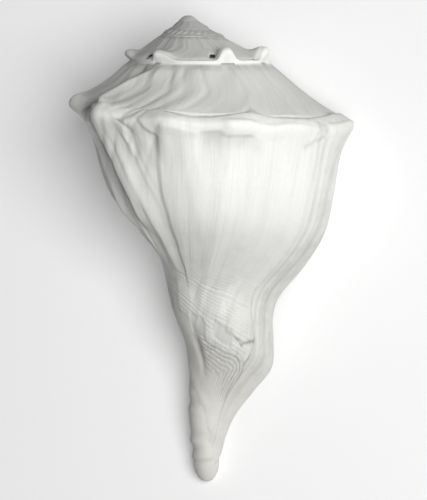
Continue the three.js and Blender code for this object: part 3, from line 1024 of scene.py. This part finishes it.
all_widths, all_depths = zip(*PILLAR)
plain_depths = [depth for depth in all_depths if not BUMPY_FROM < depth < BUMPY_TO]
depths = np.unique(np.concatenate([plain_depths, np.arange(BUMPY_FROM, BUMPY_TO, BUMP_GAP)]))
widths = np.interp(depths, all_depths, all_widths)
bumps = between(depths, BUMPY_FROM + 2, BUMPY_TO, 5) * wander(depths, 3.1, 36)
nudges = BUMP_HEIGHT * bumps
bpy.ops.object.select_all(action="DESELECT")
bpy.ops.mesh.primitive_circle_add(vertices=RING_POINTS, radius=widths[-1] * MM, fill_type="NGON",
                                  location=(0, 0, -depths[-1] * MM))
pillar = bpy.context.object
pillar.name = "pillar"
bpy.ops.object.transform_apply(location=True)
bpy.ops.object.mode_set(mode="EDIT")
bpy.ops.mesh.select_all(action="SELECT")
for ring in range(len(depths) - 2, -1, -1):
    move = (nudges[ring + 1] - nudges[ring], 0, depths[ring + 1] - depths[ring])
    bpy.ops.mesh.extrude_region_move(TRANSFORM_OT_translate={"value": Vector(move) * MM})
    size = widths[ring] / widths[ring + 1]
    bpy.ops.transform.resize(value=(size, size, 1), center_override=(-nudges[ring] * MM, 0, 0))
bpy.ops.mesh.select_all(action="SELECT")
bpy.ops.mesh.normals_make_consistent(inside=False)
bpy.ops.object.mode_set(mode="OBJECT")
low_end = np.array([v.co.z < MIDDLE_HEIGHT * MM for v in pillar.data.vertices])
pillar_steps = np.where(low_end, TIP_GROWTH[0], NUB_GROWTH[0])
pillar_turns = np.where(low_end, TIP_GROWTH[1], NUB_GROWTH[1])
write_map(pillar.data, pillar_steps, pillar_turns)
print("pillar", len(pillar.data.vertices), "points")

# %% [markdown]
# ## Joining
#
# The lengths overlap a little, and each whorl starts inside the wall of the one before. A union
# makes them one skin, so that no hidden sheet is left inside. Its manifold solver is quick on dense
# meshes and keeps the texture map.

# %% Join the lengths
shell = walls[-1]
for piece in [*walls[:-1][::-1], pillar]:
    bpy.ops.object.select_all(action="DESELECT")
    shell.select_set(True)
    bpy.context.view_layer.objects.active = shell
    join = shell.modifiers.new("join", "BOOLEAN")
    join.operation = "UNION"
    join.solver = "MANIFOLD"
    join.object = piece
    bpy.ops.object.modifier_apply(modifier="join")
    bpy.data.objects.remove(piece)
    print(len(shell.data.polygons), "faces so far")
shell.name = "conch"
shell.data.transform(laid)
print("joined:", len(shell.data.polygons), "faces")

# %% [markdown]
# ## Worn where it rests
#
# The three places that touch the ground are rubbed flat. One cut at the height of the floor does
# it, and the cut is filled so that the skin stays closed.

# %% Cut at the floor
bpy.ops.object.select_all(action="DESELECT")
shell.select_set(True)
bpy.context.view_layer.objects.active = shell
bpy.ops.object.mode_set(mode="EDIT")
bpy.ops.mesh.select_all(action="SELECT")
bpy.ops.mesh.bisect(plane_co=(0, 0, 0), plane_no=(0, 0, -1), use_fill=True, clear_outer=True,
                    threshold=DOUBLES / 10)
bpy.ops.mesh.select_all(action="SELECT")
bpy.ops.mesh.remove_doubles(threshold=2 * DOUBLES)
bpy.ops.object.mode_set(mode="OBJECT")
bpy.ops.object.shade_smooth()
lowest = min(v.co.z for v in shell.data.vertices)
print("shell", len(shell.data.vertices), "points, lowest", round(lowest / MM, 2))

# %% [markdown]
# ## Shader sums
#
# A finish is a sum of masks. Written as nodes one by one it would fill pages, so a small class
# stands for a socket and adds the Math nodes for the sums that are written on it.

# %% A shader value that can be added and multiplied
class Sum:
    """A socket of a shader value"""

    def __init__(self, finish, socket):
        self.finish = finish
        self.socket = socket

    def maths(self, operation, first, second):
        return self.finish.node("ShaderNodeMath", {"operation": operation}, {0: first, 1: second})

    def __add__(self, other):
        return self.maths("ADD", self, other)

    def __sub__(self, other):
        return self.maths("SUBTRACT", self, other)

    def __rsub__(self, other):
        return self.maths("SUBTRACT", other, self)

    def __mul__(self, other):
        return self.maths("MULTIPLY", self, other)

    __radd__ = __add__
    __rmul__ = __mul__

    def step(self, low, high):
        """0 below low, 1 above high, soft between"""
        return self.finish.node("ShaderNodeMapRange", {"interpolation_type": "SMOOTHSTEP"},
                                {"Value": self, "From Min": low, "From Max": high})


class Finish:
    """A material's nodes"""

    def __init__(self, name):
        self.material = bpy.data.materials.new(name)
        self.material.use_nodes = True
        self.tree = self.material.node_tree
        self.surface = next(n for n in self.tree.nodes if n.type == "BSDF_PRINCIPLED")

    def put(self, socket, value):
        if isinstance(value, Sum):
            self.tree.links.new(value.socket, socket)
        else:
            socket.default_value = value

    def node(self, kind, settings, values, output=0):
        made = self.tree.nodes.new(kind)
        for key, value in settings.items():
            setattr(made, key, value)
        for key, value in values.items():
            self.put(made.inputs[key], value)
        return Sum(self, made.outputs[output])

    def vector(self, x, y):
        return self.node("ShaderNodeCombineXYZ", {}, {"X": x, "Y": y})

    def noise(self, place, scale, detail=3, rough=0.5):
        values = {"Vector": place, "Scale": scale, "Detail": detail, "Roughness": rough}
        return self.node("ShaderNodeTexNoise", {}, values)

    def mix(self, factor, first, second):
        # a Mix node's sockets 6 and 7 and its output 2 are those for colours
        return self.node("ShaderNodeMix", {"data_type": "RGBA"}, {0: factor, 6: first, 7: second}, 2)


print("shader sums ready")

# %% [markdown]
# ## The chalky white finish
#
# A beach-worn shell is white lime with a faint satin. Its colour follows the growth: thin grey and
# cream streaks run with the growth lines, dirt and painted shade darken the pits and creases, the
# lower body is greyed as painted shade, and the canal is a little tan. Each of these gets a mask
# first. The masks read the step along the edge and the turn from the texture map, and noise on the
# shell's own coordinates breaks them up.

# %% Masks over the shell
chalk = Finish("chalky white shell")
growth = chalk.node("ShaderNodeUVMap", {"uv_map": "growth"}, {})
along = chalk.node("ShaderNodeSeparateXYZ", {}, {0: growth}, "X") * STEPS_ON_MAP
turn = chalk.node("ShaderNodeSeparateXYZ", {}, {0: growth}, "Y") * TURNS_ON_MAP
place = chalk.node("ShaderNodeTexCoord", {}, {}, "Object")
inside = chalk.node("ShaderNodeAttribute", {"attribute_name": "inside"}, {}, "Fac")
dirt_and_shade = chalk.node("ShaderNodeAttribute", {"attribute_name": "dirt_and_shade"}, {}, "Fac")

# noise: patches to a metre, or to a step and to a degree where it follows the growth
streaks = chalk.noise(chalk.vector(along * 0.35, turn * 0.55), 1.0, 4, 0.65).step(0.45, 0.75)
broad = chalk.noise(chalk.vector(along * 0.2, turn * 0.09), 1.0, 2).step(0.4, 0.7)
cloud = chalk.noise(place, 140, 4, 0.65).step(0.4, 0.7)
speckle = chalk.noise(place, 600, 2, 0.6).step(0.45, 0.75)
# parts of the shell
last_whorl = turn.step(-140, -90)
spire = 1 - turn.step(-520, -300)
old_ramp = (1 - turn.step(-300, -230)) * (1 - along.step(1.8, 2.6))
ramp = 1 - along.step(1.6, 2.8)
# painted shade on the lower body, which faces down
low = along.step(6.4, 9.2) * last_whorl
canal = along.step(13.0, 14.6) * last_whorl
newest = turn.step(54, 80)
print("masks made with", len(chalk.tree.nodes), "nodes")

# %% [markdown]
# ## Colours
#
# The colours are laid over one another like thin washes, the widest first. Each wash says how
# strongly it covers what is below it. The pits come last, as black balls of painted shadow round the
# same places that were dented, so that they stay sharp.

# %% Paint the shell
CHALK = (0.85, 0.85, 0.825, 1)
STREAK = (0.60, 0.60, 0.57, 1)
OLD = (0.36, 0.365, 0.355, 1)
TAN = (0.62, 0.605, 0.56, 1)
# grey for the dirt and the painted shade
DIRT_AND_SHADE_GREY = (0.16, 0.155, 0.145, 1)
# black of the painted shadow in the pits
PIT_SHADOW = (0.02, 0.02, 0.02, 1)
PORCELAIN = (0.80, 0.76, 0.68, 1)
# a pit's colour is full up to the first of these and gone at the second, in radii of the pit
PIT_RIM = (0.95, 1.25)
ROUGH, SATIN_INSIDE, ROUGH_STREAKS = 0.55, 0.2, 0.1
BUMP_STRENGTH, BUMP_HEIGHT_M = 0.25, 0.0004
SHINE = 0.4

WASHES = [
    (streaks * 0.25 + broad * 0.15, STREAK),
    (spire * 0.75 + old_ramp * 0.3, OLD),
    # low: painted shade on the lower body, which faces down
    (low * (0.6 + cloud * 0.2) + newest * (0.15 + cloud * 0.3) + ramp * 0.5, STREAK),
    (speckle * 0.10, TAN),
    (canal * (0.55 + cloud * 0.45), TAN),
    # dirt and painted shade in creases, hollows and dents
    (dirt_and_shade * 0.9, DIRT_AND_SHADE_GREY),
]
colour = CHALK
for cover, wash in WASHES:
    colour = chalk.mix(cover, colour, wash)
# each pit gets a black ball of painted shadow
for at, step, radius in SPIRE_PITS:
    middle = laid @ Vector(edge_place(at, step) * MM)
    away = chalk.node("ShaderNodeVectorMath", {"operation": "DISTANCE"}, {0: place, 1: middle}, "Value")
    rim_from, rim_to = (part * radius * MM for part in PIT_RIM)
    colour = chalk.mix(1 - away.step(rim_from, rim_to), colour, PIT_SHADOW)
colour = chalk.mix(inside * 0.8, colour, PORCELAIN)
chalk.put(chalk.surface.inputs["Base Color"], colour)
chalk.put(chalk.surface.inputs["Roughness"], ROUGH - inside * SATIN_INSIDE + streaks * ROUGH_STREAKS)
chalk.put(chalk.surface.inputs["Specular IOR Level"], SHINE)
grain = chalk.noise(place, 900, 3) * 0.3 + cloud * canal * 0.5 + streaks * 0.6
bump_values = {"Strength": BUMP_STRENGTH, "Distance": BUMP_HEIGHT_M, "Height": grain}
chalk.put(chalk.surface.inputs["Normal"], chalk.node("ShaderNodeBump", {}, bump_values))

shell.data.materials.clear()
shell.data.materials.append(chalk.material)
print("finish", len(chalk.tree.nodes), "nodes")

# %% [markdown]
# ## Floor and light
#
# The shell was photographed in soft light on white. A wide key light stands to the right of the
# camera, so the left flank falls into grey, and a faint sky fills the rest. The floor glows a
# little, to come nearer to the photograph's white without more light on the shell.

# %% Floor, light and sky
FLOOR_SIZE = 6
PAPER = (0.78, 0.78, 0.78, 1)
PAPER_GLOW = 0.18
WHITE = (1, 1, 1, 1)
KEY_WAY = 0.97 * plain_front + 0.23 * plain_right + 0.10 * plain_up
KEY_DISTANCE, KEY_SIZE, KEY_POWER = 1.3, 0.9, 18.8
SHELL_MIDDLE = Vector((0, 0, 40 * MM))
SKY_STRENGTH = 0.05

bpy.ops.object.select_all(action="DESELECT")
bpy.ops.mesh.primitive_plane_add(size=FLOOR_SIZE, location=(0, 0, 0))
floor = bpy.context.object
floor.name = "floor"
paper = Finish("white paper")
paper.put(paper.surface.inputs["Base Color"], PAPER)
paper.put(paper.surface.inputs["Roughness"], 0.9)
paper.put(paper.surface.inputs["Emission Color"], WHITE)
paper.put(paper.surface.inputs["Emission Strength"], PAPER_GLOW)
floor.data.materials.append(paper.material)

key_data = bpy.data.lights.new("key", "AREA")
key_data.shape = "DISK"
key_data.size = KEY_SIZE
key_data.energy = KEY_POWER
key = bpy.data.objects.new("key", key_data)
bpy.context.collection.objects.link(key)
to_key = laid_direction(KEY_WAY)
key.location = SHELL_MIDDLE + to_key * KEY_DISTANCE
key.rotation_mode = "QUATERNION"
key.rotation_quaternion = to_key.to_track_quat("Z", "Y")

sky = bpy.data.worlds.new("sky")
sky.use_nodes = True
background = sky.node_tree.nodes["Background"]
background.inputs["Color"].default_value = WHITE
background.inputs["Strength"].default_value = SKY_STRENGTH
bpy.context.scene.world = sky
bpy.context.scene.view_settings.view_transform = "Standard"
print("floor, one key light and a sky")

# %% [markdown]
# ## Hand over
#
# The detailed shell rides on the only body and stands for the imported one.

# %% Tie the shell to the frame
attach(shell, "root")
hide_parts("shell")
